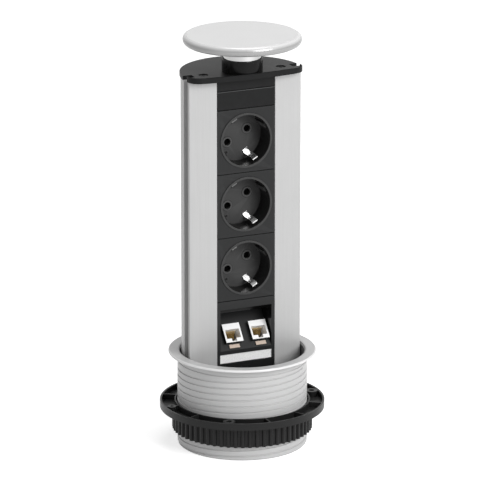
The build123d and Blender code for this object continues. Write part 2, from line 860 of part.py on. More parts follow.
def jack_shell(side):
    body_width, body_height = jack_body_size()
    face_z = jack_boss_height + jack_face_plate
    body = raised_box(jack_width, jack_face_height, jack_boss_height, face_z)
    body += raised_box(body_width, body_height, face_z - jack_shell_depth, face_z)
    mouth_low = face_z - jack_mouth_depth
    body -= raised_box(jack_mouth_width, jack_mouth_height, mouth_low, face_z + overrun,
                       rise=jack_mouth_rise)
    slot_rise = jack_mouth_rise - (jack_mouth_height + key_slot_drop) / 2
    body -= raised_box(key_slot_width, key_slot_drop, mouth_low, face_z + overrun, rise=slot_rise)
    return jack_plane(jack_places()[side]) * body


def jack_contacts(side):
    """Contact carrier at the end of the mouth, with sloping contact wires."""
    mouth_low = jack_boss_height + jack_face_plate - jack_mouth_depth
    width = jack_mouth_width - 2 * pin_gap
    height = jack_mouth_height - 2 * pin_gap
    body = raised_box(width, height, mouth_low, mouth_low + contact_block_depth, rise=jack_mouth_rise)
    wire_low = mouth_low + contact_block_depth - contact_wire_width
    wire_high = mouth_low + jack_mouth_depth * 2 / 3
    top = jack_mouth_rise + height / 2
    for index in range(contact_count):
        x = (index - (contact_count - 1) / 2) * contact_wire_pitch
        outline = Polyline([(x, top, wire_high), (x, top - contact_wire_width, wire_high),
                            (x, jack_mouth_rise - height / 4, wire_low),
                            (x, jack_mouth_rise, wire_low)], close=True)
        body += extrude(make_face(outline), contact_wire_width / 2, dir=(1, 0, 0), both=True)
    return jack_plane(jack_places()[side]) * body


def jack_latch(side):
    """Latch lip below a jack, with its leg behind the plate."""
    bar = raised_box(lip_bar_width, lip_bar_height, 0, lip_bar_proud, rise=lip_bar_rise())
    leg = raised_box(lip_bar_width, lip_leg, -lip_leg_depth, lip_bar_proud, rise=lip_bar_rise())
    return jack_plane(jack_places()[side]) * (bar + leg)


def label_strip():
    back = cover_front_y + label_card + label_window
    return block(-label_half, label_half, back - label_card, back, label_bottom_z, label_top_z)


def label_cover():
    return block(-label_half, label_half, cover_front_y, cover_front_y + label_window,
                 label_bottom_z, label_top_z)


def build_pieces():
    pieces = {
        "threaded_sleeve": threaded_sleeve(),
        "guide_liner": guide_liner(),
        "brake_felt_left": brake_felt(1),
        "brake_felt_right": brake_felt(-1),
        "clamp_flange": clamp_flange(),
        "grip_nut": grip_nut(),
        "column_profile": column_profile(),
        "top_plate": top_plate(),
        "top_plate_screws": screw_pair(plate_top_z - screw_recess_depth, -1),
        "neck": neck(),
        "cap_disc": cap_disc(),
        "cap_boss": cap_boss(),
        "cap_plunger": cap_plunger(),
        "cap_screw": cap_screw(),
        "cap_spring": cap_spring(),
        "latch_case": latch_case(),
        "base_plate": base_plate(),
        "base_plate_screws": screw_pair(base_bottom_z + screw_recess_depth, 1),
        "cable_gland": cable_gland(),
        "header_strip": front_cover(header_bottom_z, column_top_z),
        "blank_cover": front_cover(blank_bottom_z, header_bottom_z),
        "lower_cover": front_cover(lower_cover_bottom_z, data_bottom_z),
        "terminal_block": terminal_block(),
        "terminal_screws": terminal_screws(),
        "data_frame": data_frame(),
        "label_strip": label_strip(),
        "label_cover": label_cover(),
    }
    for name, x in zip(("neutral", "earth", "live"), busbar_places()):
        pieces["busbar_" + name] = busbar(x)
    for side in jack_places():
        pieces["jack_shell_" + side] = jack_shell(side)
        pieces["jack_contacts_" + side] = jack_contacts(side)
        pieces["jack_latch_" + side] = jack_latch(side)
    for index in range(socket_count):
        tag = str(index + 1)
        pieces["socket_face_" + tag] = socket_face(index)
        pieces["socket_housing_" + tag] = socket_housing(index)
        pieces["earth_clip_" + tag] = earth_clip(index)
        pieces["contact_neutral_" + tag] = line_contact(index, 0)
        pieces["contact_live_" + tag] = line_contact(index, 1)
        pieces["shutter_" + tag] = shutter(index)
        pieces["shutter_spring_" + tag] = shutter_spring(index)
    return pieces


os.makedirs("parts", exist_ok=True)
for node, shape in build_pieces().items():
    solids = shape if isinstance(shape, list) else shape.solids()
    export_step(Compound(children=list(solids)) if len(solids) > 1 else solids[0],
                "parts/" + node + ".step")
    print(node, len(solids))
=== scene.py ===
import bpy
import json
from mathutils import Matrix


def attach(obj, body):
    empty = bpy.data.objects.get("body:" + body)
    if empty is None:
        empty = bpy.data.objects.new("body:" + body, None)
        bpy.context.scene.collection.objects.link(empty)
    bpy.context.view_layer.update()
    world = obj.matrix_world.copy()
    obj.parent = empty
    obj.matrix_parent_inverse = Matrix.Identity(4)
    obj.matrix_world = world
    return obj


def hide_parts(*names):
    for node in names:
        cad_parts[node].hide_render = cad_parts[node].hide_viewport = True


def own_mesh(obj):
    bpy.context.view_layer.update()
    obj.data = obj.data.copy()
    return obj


bl_info = {
    "name": "Pop up desk socket dressing",
    "version": (1, 0, 0),
    "blender": (4, 5, 0),
    "location": "3D View > Sidebar > Desk Socket",
    "description": "Finishes every surface of a pop up desk socket and sets up its studio",
    "category": "Object",
}

import json
import math

import bmesh
import bpy
from bpy.props import (BoolProperty, FloatProperty, FloatVectorProperty, IntProperty,
                       PointerProperty)
from mathutils import Vector

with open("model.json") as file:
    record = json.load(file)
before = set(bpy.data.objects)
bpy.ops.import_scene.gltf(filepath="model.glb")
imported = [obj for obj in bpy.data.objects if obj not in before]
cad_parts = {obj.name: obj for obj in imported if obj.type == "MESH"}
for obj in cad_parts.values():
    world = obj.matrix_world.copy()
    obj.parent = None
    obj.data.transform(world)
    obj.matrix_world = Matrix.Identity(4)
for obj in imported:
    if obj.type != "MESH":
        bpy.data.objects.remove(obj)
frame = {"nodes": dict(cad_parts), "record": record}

# Units and tolerances of the mesh work
MM = 0.001
WELD = 0.004 * MM
FLAT_ANGLE = math.radians(0.05)
SHARP_ANGLE = math.radians(32)
CORNER_ANGLE = math.radians(60)

# A mains socket, in millimetres from the middle of its front
PIN_HOLES = ((-8.31, -4.61), (8.31, 4.61))
SMALL_MARK = (-9.0, -12.9)
RECESS_R = 20.05
WALL_REACH = 0.6
RING_R = 22.3
RING_DEPTH = 0.1
FRONT_DEPTH = 0.4

# The data module, in millimetres: the carrier's front along a jack's axis, how far the frame's
# hollow lies behind the sockets' front, the height over which the hollow gets painted shade, and
# the air behind the label's window. The last number is how much of the window shows
CARRIER_FRONT = -9.8
FRAME_HOLLOW = 2.2
HOLLOW_FOOT = 96.0
WINDOW_AIR = 0.15
WINDOW_ALPHA = 0.06

# Bands of the finishes, with lengths in millimetres. Except for the cap's rim they are painted
# shade and painted highlight. A shade multiplies the colour.
# Bands about the column's axis: inner radius, outer radius, softness, and the sleeve's shades.
# They paint shade into the thread's groove and the bore, and a highlight on the collar's outer
# edge
SLEEVE_SHADE_BANDS = (
    (49.2, 50.25, 0.25, 0.95),  # bottom of the thread
    (48.65, 49.1, 0.05, 0.5),   # bore
    (56.4, 60.0, 0.5, 1.4),     # outer edge of the collar
)
CAP_RIM = (42.6, 60.0, 0.4)
CAP_RIM_ROUGH = 0.26
# Bands of height: the height below which the cap's side gets painted shade, and its softness
CAP_PAINTED_SHADE_HEIGHT = (326.4, 2.4)
CAP_PAINTED_SHADE_FACTOR = 0.5
# The header's joint, and the pale line below it that is a painted highlight: its width, softness
# and how much it lightens
HEADER_JOINT = 284.75
HEADER_HIGHLIGHT_WIDTH = 0.5
HEADER_HIGHLIGHT_SOFTNESS = 0.1
HEADER_HIGHLIGHT_GAIN = 6.0
# Rings of painted highlight and painted shade on a recess floor, round the pin holes, and round
# a small hole that is painted as a dark spot: inner radius, outer radius and shade
PIN_HOLE_LIGHT_SHADE_RINGS = ((2.9, 4.1, 1.3), (4.2, 4.7, 0.5), (6.0, 6.3, 0.75))
SMALL_HOLE_SHADE_RINGS = ((0.0, 1.0, 0.15), (2.6, 3.0, 0.7))
RECESS_RING_SOFTNESS = 0.15

# The frame brings plain materials of its own, so the finishes' names start with this
FINISH_PREFIX = "desk_socket_"

# Grain: noise marks to a metre, and how far it is drawn out along the column
CLOUD_SCALE = 38.0
FINE_DETAIL = 2.0
CLOUD_DETAIL = 3.0
SPECK_DETAIL = 4.0
RUB_SCALE = CLOUD_SCALE * 6
SPECK_SCALE = CLOUD_SCALE * 30
DRAWN_OUT = 0.012
FINE_SHARE = 0.4
CLOUD_SHARE = 0.6

# Wear, which also paints edge highlights, and dust: where edges count as sharp, where faces
# count as lying, and their colours
SHARP_POINTINESS = (0.52, 0.62)
LYING_NORMAL = (0.7, 1.0)
DUST_COLOUR = (0.6, 0.59, 0.57, 1)
RUBBED_HIGHLIGHT_GAIN = 2
RUBBED_HIGHLIGHT_LIFT = 0.02

# Studio, in metres. Soft boxes: place, width and height
FLOOR_REACH = 6.0
FLOOR_SIDES = 64
FLOOR_GLOW = 0.6
WHITE = (1, 1, 1, 1)
KEY_BOX = ((0.65, -1.95, 1.25), 1.2, 1.2)
TOP_BOX = ((0.25, 0.2, 2.4), 1.3, 1.3)
FILL_BOX = ((-1.7, -0.9, 1.0), 0.9, 1.2)
SENSOR = 36.0
VIEW_PIXELS = 480
FAR_CLIP = 50


# Settings that a user can change
def length(label, text, value):
    """A length in metres with a name and a description."""
    return FloatProperty(name=label, description=text, default=value * MM, unit="LENGTH",
                         precision=5)


def share(label, text, value):
    """A number from 0 to 1."""
    return FloatProperty(name=label, description=text, default=value, min=0, max=1,
                         subtype="FACTOR")


def tint(label, text, value):
    """A colour of three parts."""
    return FloatVectorProperty(name=label, description=text, default=value, size=3, min=0,
                               max=1, subtype="COLOR")


def grey(value, warmth=0.0):
    """A grey, warmer where warmth is above zero and cooler where it is below."""
    return (value * (1 + warmth), value, value * (1 - warmth))


class SocketColours(bpy.types.PropertyGroup):
    """Colours of the finishes"""

    sleeve: tint("Sleeve", "Silver paint of the sleeve and collar", grey(0.57))
    anodised: tint("Column", "Anodised aluminium of the column", grey(0.50))
    cap: tint("Cap", "Blasted aluminium of the cap", grey(0.74))
    black: tint("Panel black", "Moulded black of the faces and covers", grey(0.017, -0.02))
    cover: tint("Cover black", "Moulded black of the blank covers", grey(0.011, -0.02))
    recess: tint("Recess black", "Smoother black inside the socket recesses", grey(0.058))
    # The recess wall is a darker copy of the recess black: painted shade
    wall: tint("Recess wall", "Side wall of the socket recesses", grey(0.012))
    # The ring's crest is a lighter copy of the panel black: painted highlight
    ring: tint("Ring black", "Crest of the raised rings", grey(0.030))
    # Nickel darkened as painted shade, for the earth strips' upper ends
    nickel_shade: tint("Dull nickel", "Upper ends of the earth strips", grey(0.14))
    # Darker black as painted shade inside the data module's hollow
    hollow_shade: tint("Deep black", "Inside of the data module", grey(0.007))
    clamp: tint("Clamp black", "Moulded black of the clamp ring and nut", grey(0.013))
    gloss: tint("Neck black", "Glossy black of the neck", grey(0.006))
    liner: tint("Liner", "Dark grey of the guide liner", grey(0.10))
    felt: tint("Felt", "Brake felt", grey(0.03))
    chrome: tint("Chrome", "Plating of the bright boss", grey(0.46))
    steel: tint("Steel", "Springs and small steel parts", grey(0.55))
    nickel: tint("Nickel", "Earth strips", grey(0.66))
    brass: tint("Brass", "Contacts and busbars", (0.66, 0.46, 0.20))
    gold: tint("Gold wires", "Contact wires of the network jacks", (0.86, 0.62, 0.26))
    screw: tint("Screws", "Blackened screws", grey(0.008))
    # The shutters are darkened to near black as painted shade in the pin holes
    shutter: tint("Shutter", "Dark plastic of the socket shutters", grey(0.003))
    inner: tint("Inner plastic", "Grey plastic of the hidden mouldings", grey(0.16))
    jack: tint("Jack white", "White plastic of the network jacks", grey(0.96))
    latch: tint("Latch beige", "Beige plastic of the jack latches", (0.56, 0.45, 0.37))
    card: tint("Label card", "Plain card behind the label window", grey(0.98))
    window: tint("Label window", "Clear window over the label card", grey(0.92))
    floor: tint("Floor", "Studio floor", grey(0.86))


class SocketDetail(bpy.types.PropertyGroup):
    """Sizes of the finishing details"""

    edge_small: length("Small edge", "Rounding of small edges", 0.12)
    edge_medium: length("Medium edge", "Rounding of the larger moulded edges", 0.25)
    edge_steps: IntProperty(name="Edge steps", description="Faces across a rounded edge",
                            default=2, min=1, max=4)
    # Wear pales the moulded edges, both as rubbing and as painted edge highlight
    wear: share("Wear", "How much moulded edges are rubbed pale", 0.25)
    dust: share("Dust", "How much fine dust lies on top faces", 0.10)
    grain: BoolProperty(name="Grain", description="Give surfaces their fine grain", default=True)


class SocketStage(bpy.types.PropertyGroup):
    """Camera and light"""

    azimuth: FloatProperty(name="Azimuth", description="Camera turn about the column",
                           default=math.radians(-24.5), subtype="ANGLE")
    reach: length("Camera reach", "Level distance from the column's axis to the camera", 3530.0)
    height: length("Camera height", "Height of the camera above the floor", 1200.0)
    aim: length("Aim height", "Height on the axis at the middle of the view", 163.0)
    aim_side: length("Aim side", "Sideways shift of the aim", -1.7)
    scale: FloatProperty(name="Scale", description="Pixels of a 480 pixel view to a millimetre",
                         default=1.294, min=0.1)
    key: FloatProperty(name="Key light", description="Power of the large soft box", default=38.0,
                       unit="POWER")
    fill: FloatProperty(name="Fill light", description="Power of the left-hand soft box",
                        default=0.8, unit="POWER")
    top: FloatProperty(name="Top light", description="Power of the soft box overhead",
                       default=11.0, unit="POWER")
    sky: share("Sky", "Strength of the studio's own light", 0.42)


def colours():
    return bpy.context.scene.desk_socket_colours


def detail():
    return bpy.context.scene.desk_socket_detail


# Node groups shared by the finishes
def group_tree(name, inputs, outputs):
    """An empty shader node group with its named sockets."""
    tree = bpy.data.node_groups.new(name, "ShaderNodeTree")
    for label, kind, value in inputs:
        socket = tree.interface.new_socket(name=label, in_out="INPUT", socket_type=kind)
        socket.default_value = value
    for label, kind in outputs:
        tree.interface.new_socket(name=label, in_out="OUTPUT", socket_type=kind)
    start = tree.nodes.new("NodeGroupInput")
    end = tree.nodes.new("NodeGroupOutput")
    return tree, start, end


def math_node(tree, operation, first, second=None, third=None, clamp=False):
    node = tree.nodes.new("ShaderNodeMath")
    node.operation = operation
    node.use_clamp = clamp
    for socket, value in zip(node.inputs, (first, second, third)):
        feed(tree, socket, value)
    return node.outputs[0]


def feed(tree, socket, value):
    """Puts a number on a socket, or links another node's output to it."""
    if value is None:
        return
    if isinstance(value, bpy.types.NodeSocket):
        tree.links.new(value, socket)
    else:
        socket.default_value = value


def object_point(tree, stretch=(1, 1, 1)):
    """Object coordinates, stretched along the axes."""
    place = tree.nodes.new("ShaderNodeTexCoord")
    mapping = tree.nodes.new("ShaderNodeMapping")
    mapping.inputs["Scale"].default_value = stretch
    tree.links.new(place.outputs["Object"], mapping.inputs["Vector"])
    return mapping.outputs["Vector"]


def noise(tree, point, scale, steps):
    """A soft pattern from 0 to 1, finer with more steps."""
    node = tree.nodes.new("ShaderNodeTexNoise")
    tree.links.new(point, node.inputs["Vector"])
    feed(tree, node.inputs["Scale"], scale)
    node.inputs["Detail"].default_value = steps
    return node.outputs["Fac"]


def swing(tree, value, amount):
    """Turns a 0 to 1 pattern into one that swings about 1 by the amount."""
    centred = math_node(tree, "SUBTRACT", value, 0.5)
    scaled = math_node(tree, "MULTIPLY", centred, amount)
    return math_node(tree, "MULTIPLY_ADD", scaled, 2.0, 1.0)


def scaled_colour(tree, colour, factor):
    node = tree.nodes.new("ShaderNodeVectorMath")
    node.operation = "SCALE"
    feed(tree, node.inputs[0], colour)
    feed(tree, node.inputs["Scale"], factor)
    return node.outputs[0]


def mixed_colour(tree, factor, first, second):
    node = tree.nodes.new("ShaderNodeMix")
    node.data_type = "RGBA"
    feed(tree, node.inputs["Factor"], factor)
    feed(tree, node.inputs["A"], first)
    feed(tree, node.inputs["B"], second)
    return node.outputs["Result"]


def parts_of(tree, vector):
    """The X, Y and Z sockets of a vector."""
    node = tree.nodes.new("ShaderNodeSeparateXYZ")
    tree.links.new(vector, node.inputs[0])
    return node.outputs


def radius_of(tree, across, along):
    """How far a point lies from an axis, from its two distances."""
    square = math_node(tree, "ADD", math_node(tree, "POWER", across, 2.0),
                       math_node(tree, "POWER", along, 2.0))
    return math_node(tree, "SQRT", square)


def band_mask(tree, radius, start):
    """A mask that is 1 between the group's two radii."""
    softness = start.outputs["Softness"]
    past_inner = math_node(tree, "SUBTRACT", radius, start.outputs["Inner Radius"])
    past_inner = math_node(tree, "DIVIDE", past_inner, softness, clamp=True)
    short_outer = math_node(tree, "SUBTRACT", start.outputs["Outer Radius"], radius)
    short_outer = math_node(tree, "DIVIDE", short_outer, softness, clamp=True)
    return math_node(tree, "MULTIPLY", past_inner, short_outer)


GRAIN_INPUTS = (
    ("Colour", "NodeSocketColor", (0.5, 0.5, 0.5, 1)),
    ("Colour Spread", "NodeSocketFloat", 0.04),
    ("Cloud Spread", "NodeSocketFloat", 0.03),
    ("Roughness", "NodeSocketFloat", 0.5),
    ("Roughness Spread", "NodeSocketFloat", 0.1),
    ("Scale", "NodeSocketFloat", 2500.0),
)
SURFACE_OUTPUTS = (
    ("Colour", "NodeSocketColor"),
    ("Roughness", "NodeSocketFloat"),
    ("Height", "NodeSocketFloat"),
)


def grain_ends(tree, start, end, fine, cloud, sheen):
    """Colour, gloss and height of a grain group from its two patterns."""
    tone = math_node(tree, "MULTIPLY", swing(tree, fine, start.outputs["Colour Spread"]),
                     swing(tree, cloud, start.outputs["Cloud Spread"]))
    gloss = math_node(tree, "MULTIPLY", start.outputs["Roughness"],
                      swing(tree, sheen, start.outputs["Roughness Spread"]), clamp=True)
    tree.links.new(scaled_colour(tree, start.outputs["Colour"], tone), end.inputs["Colour"])
    tree.links.new(gloss, end.inputs["Roughness"])
    tree.links.new(fine, end.inputs["Height"])
    return tree


def surface_group(name, stretch):
    """Grain of one direction, with slow clouds of colour and gloss over it."""
    tree, start, end = group_tree(name, GRAIN_INPUTS, SURFACE_OUTPUTS)
    fine = noise(tree, object_point(tree, stretch), start.outputs["Scale"], FINE_DETAIL)
    cloud = noise(tree, object_point(tree), CLOUD_SCALE, CLOUD_DETAIL)
    sheen = math_node(tree, "MULTIPLY_ADD", fine, FINE_SHARE,
                      math_node(tree, "MULTIPLY", cloud, CLOUD_SHARE))
    return grain_ends(tree, start, end, fine, cloud, sheen)


def turned_group(name):
    """Fine rings round the column's axis, as a lathe leaves them."""
    tree, start, end = group_tree(name, GRAIN_INPUTS, SURFACE_OUTPUTS)
    parts = parts_of(tree, object_point(tree))
    join = tree.nodes.new("ShaderNodeCombineXYZ")
    tree.links.new(radius_of(tree, parts["X"], parts["Y"]), join.inputs["X"])
    tree.links.new(parts["Z"], join.inputs["Z"])
    fine = noise(tree, join.outputs[0], start.outputs["Scale"], FINE_DETAIL)
    cloud = noise(tree, object_point(tree), CLOUD_SCALE, CLOUD_DETAIL)
    return grain_ends(tree, start, end, fine, cloud, cloud)


def ranged(tree, value, ends):
    """Spreads the part of a value between the two ends over 0 to 1."""
    node = tree.nodes.new("ShaderNodeMapRange")
    tree.links.new(value, node.inputs["Value"])
    node.inputs["From Min"].default_value = ends[0]
    node.inputs["From Max"].default_value = ends[1]
    return node.outputs["Result"]


def wear_highlight_dust_group(name):
    """Edges made a little paler, as wear and as painted edge highlight, and dust on faces that
    look up.
    """
    tree, start, end = group_tree(name, (
        ("Colour", "NodeSocketColor", (0.5, 0.5, 0.5, 1)),
        ("Edge Colour", "NodeSocketColor", (0.8, 0.8, 0.8, 1)),
        ("Edge Amount", "NodeSocketFloat", 0.3),
        ("Dust Amount", "NodeSocketFloat", 0.1),
    ), (("Colour", "NodeSocketColor"),))
    geometry = tree.nodes.new("ShaderNodeNewGeometry")
    edge = ranged(tree, geometry.outputs["Pointiness"], SHARP_POINTINESS)
    patch = noise(tree, object_point(tree), RUB_SCALE, CLOUD_DETAIL)
    rubbed = math_node(tree, "MULTIPLY", edge, patch)
    rubbed = math_node(tree, "MULTIPLY", rubbed, start.outputs["Edge Amount"], clamp=True)
    lying = ranged(tree, parts_of(tree, geometry.outputs["Normal"])["Z"], LYING_NORMAL)
    speck = noise(tree, object_point(tree), SPECK_SCALE, SPECK_DETAIL)
    dusty = math_node(tree, "MULTIPLY", lying, speck)
    dusty = math_node(tree, "MULTIPLY", dusty, start.outputs["Dust Amount"], clamp=True)
    worn = mixed_colour(tree, rubbed, start.outputs["Colour"], start.outputs["Edge Colour"])
    tree.links.new(mixed_colour(tree, dusty, worn, DUST_COLOUR), end.inputs["Colour"])
    return tree


def ring_band_group(name):
    """A mask that is 1 between two radii about the column's axis."""
    tree, start, end = group_tree(name, (
        ("Inner Radius", "NodeSocketFloat", 0.01),
        ("Outer Radius", "NodeSocketFloat", 0.02),
        ("Softness", "NodeSocketFloat", 0.0002),
    ), (("Mask", "NodeSocketFloat"),))
    parts = parts_of(tree, object_point(tree))
    mask = band_mask(tree, radius_of(tree, parts["X"], parts["Y"]), start)
    tree.links.new(mask, end.inputs["Mask"])
    return tree


def round_mark_group(name):
    """A mask for a ring on a socket's floor, repeated up the column."""
    tree, start, end = group_tree(name, (
        ("Across", "NodeSocketFloat", 0.0),
        ("Up", "NodeSocketFloat", 0.14),
        ("Pitch", "NodeSocketFloat", 0.05),
        ("Inner Radius", "NodeSocketFloat", 0.001),
        ("Outer Radius", "NodeSocketFloat", 0.002),
        ("Softness", "NodeSocketFloat", 0.0002),
    ), (("Mask", "NodeSocketFloat"),))
    parts = parts_of(tree, object_point(tree))
    side = math_node(tree, "SUBTRACT", parts["X"], start.outputs["Across"])
    rise = math_node(tree, "SUBTRACT", parts["Z"], start.outputs["Up"])
    half = math_node(tree, "MULTIPLY", start.outputs["Pitch"], 0.5)
    rise = math_node(tree, "WRAP", rise, half, math_node(tree, "MULTIPLY", half, -1.0))
    mask = band_mask(tree, radius_of(tree, side, rise), start)
    tree.links.new(mask, end.inputs["Mask"])
    return tree


GROUP_BUILDERS = {
    "even grain": lambda name: surface_group(name, (1, 1, 1)),
    "drawn grain": lambda name: surface_group(name, (1, 1, DRAWN_OUT)),
    "turned rings": turned_group,
    "wear and dust": wear_highlight_dust_group,
    "ring band": ring_band_group,
    "round mark": round_mark_group,
}


def shared_group(name):
    """The node group of that name, built the first time it is asked for."""
    if name in bpy.data.node_groups:
        return bpy.data.node_groups[name]
    return GROUP_BUILDERS[name](name)


# Finishes
def known(name):
    """Tells if a finish has been made already."""
    return FINISH_PREFIX + name in bpy.data.materials


def finish(name, colour, group="even grain", rough=0.5, metal=0.0, scale=2500.0, spread=0.05,
           cloud=0.03, rough_spread=0.12, bump=0.02, wear=0.0, dust=0.0, shine=0.5):
    """A material whose colour, gloss and fine relief vary over the surface.

    scale is grain marks to a metre, bump is in millimetres, and wear and dust are shares of the
    user's settings; wear pales edges both as rubbing and as painted edge highlight.
    """
    if known(name):
        return bpy.data.materials[FINISH_PREFIX + name]
    material = bpy.data.materials.new(FINISH_PREFIX + name)
    material.use_nodes = True
    tree = material.node_tree
    shader = tree.nodes["Principled BSDF"]
    grain = tree.nodes.new("ShaderNodeGroup")
    grain.node_tree = shared_group(group)
    grain.inputs["Colour"].default_value = (*colour, 1)
    grain.inputs["Colour Spread"].default_value = spread
    grain.inputs["Cloud Spread"].default_value = cloud
    grain.inputs["Roughness"].default_value = rough
    grain.inputs["Roughness Spread"].default_value = rough_spread
    grain.inputs["Scale"].default_value = scale
    last = grain.outputs["Colour"]
    if wear or dust:
        worn = tree.nodes.new("ShaderNodeGroup")
        worn.node_tree = shared_group("wear and dust")
        tree.links.new(last, worn.inputs["Colour"])
        # Paler edge colour, for wear and for painted edge highlight
        rubbed = [min(1, part * RUBBED_HIGHLIGHT_GAIN + RUBBED_HIGHLIGHT_LIFT) for part in colour]
        worn.inputs["Edge Colour"].default_value = (*rubbed, 1)
        worn.inputs["Edge Amount"].default_value = detail().wear * wear
        worn.inputs["Dust Amount"].default_value = detail().dust * dust
        last = worn.outputs["Colour"]
    tree.links.new(last, shader.inputs["Base Color"])
    tree.links.new(grain.outputs["Roughness"], shader.inputs["Roughness"])
    shader.inputs["Metallic"].default_value = metal
    shader.inputs["Specular IOR Level"].default_value = shine
    if bump and detail().grain:
        relief = tree.nodes.new("ShaderNodeBump")
        relief.inputs["Strength"].default_value = 1.0
        relief.inputs["Distance"].default_value = bump * MM
        tree.links.new(grain.outputs["Height"], relief.inputs["Height"])
        tree.links.new(relief.outputs["Normal"], shader.inputs["Normal"])
    return material


def ring_band(material, inner, outer, softness):
    """A mask node in a material, for a band between two radii in millimetres."""
    band = material.node_tree.nodes.new("ShaderNodeGroup")
    band.node_tree = shared_group("ring band")
    band.inputs["Inner Radius"].default_value = inner * MM
    band.inputs["Outer Radius"].default_value = outer * MM
    band.inputs["Softness"].default_value = softness * MM
    return band.outputs["Mask"]


def round_mark(material, across, up, inner, outer):
    """A mask node for a ring about a point of every socket, in millimetres."""
    heights = [mount_of("mains_socket_" + tag)["pos_m"][2] for tag in "12"]
    mark = material.node_tree.nodes.new("ShaderNodeGroup")
    mark.node_tree = shared_group("round mark")
    mark.inputs["Across"].default_value = across * MM
    mark.inputs["Up"].default_value = heights[0] + up * MM
    mark.inputs["Pitch"].default_value = heights[1] - heights[0]
    mark.inputs["Inner Radius"].default_value = inner * MM
    mark.inputs["Outer Radius"].default_value = outer * MM
    mark.inputs["Softness"].default_value = RECESS_RING_SOFTNESS * MM
    return mark.outputs["Mask"]


def lower_side(material, height, softness):
    """A mask that is 1 below a height in millimetres."""
    tree = material.node_tree
    below = math_node(tree, "SUBTRACT", height * MM, parts_of(tree, object_point(tree))["Z"])
    return math_node(tree, "DIVIDE", below, softness * MM, clamp=True)


def shaded_band(material, mask, shade):
    """Paints shade or light into a finish's colour where the mask is 1."""
    tree = material.node_tree
    socket = tree.nodes["Principled BSDF"].inputs["Base Color"]
    source = socket.links[0].from_socket
    factor = math_node(tree, "MULTIPLY_ADD", mask, shade - 1, 1.0)
    tree.links.new(scaled_colour(tree, source, factor), socket)


def polished_band(material, mask, rough):
    """Brings the roughness of a finish to another value where the mask is 1."""
    tree = material.node_tree
    socket = tree.nodes["Principled BSDF"].inputs["Roughness"]
    source = socket.links[0].from_socket
    mix = tree.nodes.new("ShaderNodeMix")
    feed(tree, mix.inputs["Factor"], mask)
    feed(tree, mix.inputs["A"], source)
    feed(tree, mix.inputs["B"], rough)
    tree.links.new(mix.outputs["Result"], socket)


def sleeve_paint():
    """Silver with painted shade in the thread groove and bore, and a painted highlight on the
    collar edge.
    """
    made = not known("sleeve_paint")
    material = finish("sleeve_paint", colours().sleeve, rough=0.36, metal=0.08, scale=3200,
                      spread=0.05, bump=0.006, shine=0.1)
    if made:
        for *band, shade in SLEEVE_SHADE_BANDS:
            shaded_band(material, ring_band(material, *band), shade)
    return material


def anodised_aluminium():
    return finish("anodised_aluminium", colours().anodised, group="drawn grain", rough=0.42,
                  metal=0.12, scale=1500, spread=0.05, bump=0.004, shine=0.2)


def blasted_aluminium():
    """Matte blasted face with a smoother rim, and painted shade on its lower side."""
    made = not known("blasted_aluminium")
    material = finish("blasted_aluminium", colours().cap, rough=0.45, metal=0.25, scale=2600,
                      spread=0.05, bump=0.008, shine=0.2)
    if made:
        polished_band(material, ring_band(material, *CAP_RIM), CAP_RIM_ROUGH)
        shaded_band(material, lower_side(material, *CAP_PAINTED_SHADE_HEIGHT), CAP_PAINTED_SHADE_FACTOR)
    return material


def moulded_black():
    return finish("moulded_black", colours().black, rough=0.42, scale=2200, spread=0.12,
                  bump=0.012, wear=1.0, dust=0.3, shine=0.2)


def cover_black():
    """Black of the covers, with a painted highlight line along the header's joint."""
    made = not known("cover_black")
    material = finish("cover_black", colours().cover, rough=0.40, scale=2200, spread=0.12,
                      bump=0.012, wear=1.0, dust=0.2, shine=0.1)
    if made:
        top = lower_side(material, HEADER_JOINT, HEADER_HIGHLIGHT_SOFTNESS)
        foot = lower_side(material, HEADER_JOINT - HEADER_HIGHLIGHT_WIDTH, HEADER_HIGHLIGHT_SOFTNESS)
        line = math_node(material.node_tree, "SUBTRACT", top, foot)
        shaded_band(material, line, HEADER_HIGHLIGHT_GAIN)
    return material


def recess_black():
    """Floor of the recesses, with painted highlight and shade rings round the pin holes, and a
    painted dark spot and ring for a small hole.
    """
    made = not known("recess_black")
    material = finish("recess_black", colours().recess, rough=0.36, scale=1800, spread=0.08,
                      bump=0.006, wear=1.0, shine=0.12)
    if made:
        marks = [(place, ring) for place in PIN_HOLES for ring in PIN_HOLE_LIGHT_SHADE_RINGS]
        marks += [(SMALL_MARK, ring) for ring in SMALL_HOLE_SHADE_RINGS]
        for place, (inner, outer, shade) in marks:
            shaded_band(material, round_mark(material, *place, inner, outer), shade)
    return material


# The recess black darkened for the side wall: painted shade
def shaded_recess_wall():
    return finish("shaded_recess_wall", colours().wall, rough=0.3, scale=1800, spread=0.08,
                  bump=0.006, shine=0.14)


def highlit_ring_black():
    """The raised ring's crest, polished by plugs, in a lighter black as painted highlight."""
    return finish("highlit_ring_black", colours().ring, rough=0.34, scale=1800, spread=0.08,
                  bump=0.006, shine=0.32)


def clamp_black():
    return finish("clamp_black", colours().clamp, rough=0.38, scale=1700, spread=0.15,
                  bump=0.015, wear=1.0, dust=0.2, shine=0.18)


# Darker black inside the data module's hollow: painted shade
def hollow_shade_black():
    return finish("hollow_shade_black", colours().hollow_shade, rough=0.2, scale=1500, spread=0.08,
                  bump=0.004, shine=0.2)


def gloss_black():
    return finish("gloss_black", colours().gloss, rough=0.22, scale=900, spread=0.05,
                  bump=0.0, shine=0.12)


def liner_grey():
    return finish("liner_grey", colours().liner, rough=0.5, scale=1500, spread=0.08, bump=0.01)


def brake_felt():
    return finish("brake_felt", colours().felt, rough=0.95, scale=1600, spread=0.35, bump=0.15)


def bright_chrome():
    return finish("bright_chrome", colours().chrome, group="turned rings", rough=0.08,
                  metal=1.0, scale=1500, spread=0.02, bump=0.0006)


